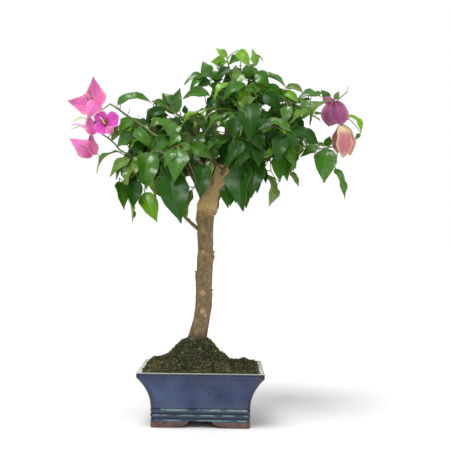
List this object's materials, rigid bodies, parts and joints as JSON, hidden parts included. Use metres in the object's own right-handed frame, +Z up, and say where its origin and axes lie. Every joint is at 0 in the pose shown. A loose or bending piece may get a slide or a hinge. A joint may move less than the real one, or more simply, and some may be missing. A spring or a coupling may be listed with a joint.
{
  "type": "potted bougainvillea bonsai tree",
  "caption": "Small bougainvillea grown as a bonsai tree: straight trunk, wide open crown with pink bracts at its ends, in a flared rectangular glazed pot with mossy soil.",
  "frame": {"origin": "under the middle of the whole plant's outline, on the surface that the pot stands on", "axes": "+Z up along the trunk, +X to the plant's right as the picture shows it, +Y away from the viewer; the plant is widest along X and least deep along Y"},
  "size_m": [0.4402, 0.2864, 0.5506],
  "materials": {
    "glaze": "glossy slate blue glaze, rusty along its edges",
    "clay": "bare reddish brown clay on the feet",
    "moss": "rough damp soil under olive green moss",
    "bark": "rough grey brown bark with fine upright fibres",
    "leaves": "satin mid green leaf",
    "bracts": "matt papery pink bract"
  },
  "bodies": {
    "root": {"pot": "glaze", "moss_and_soil": "moss", "trunk": "bark", "low_left_bough": "bark", "left_bough": "bark", "upper_left_bough": "bark", "top_bough": "bark", "upper_right_bough": "bark", "right_bough": "bark", "low_right_bough": "bark", "front_left_bough": "bark", "front_right_bough": "bark", "back_left_bough": "bark", "back_right_bough": "bark", "back_top_bough": "bark", "low_left_foliage": "leaves", "left_foliage": "leaves", "upper_left_foliage": "leaves", "top_foliage": "leaves", "upper_right_foliage": "leaves", "right_foliage": "leaves", "low_right_foliage": "leaves", "front_left_foliage": "leaves", "front_right_foliage": "leaves", "back_left_foliage": "leaves", "back_right_foliage": "leaves", "back_top_foliage": "leaves"}
  },
  "joints": []
}
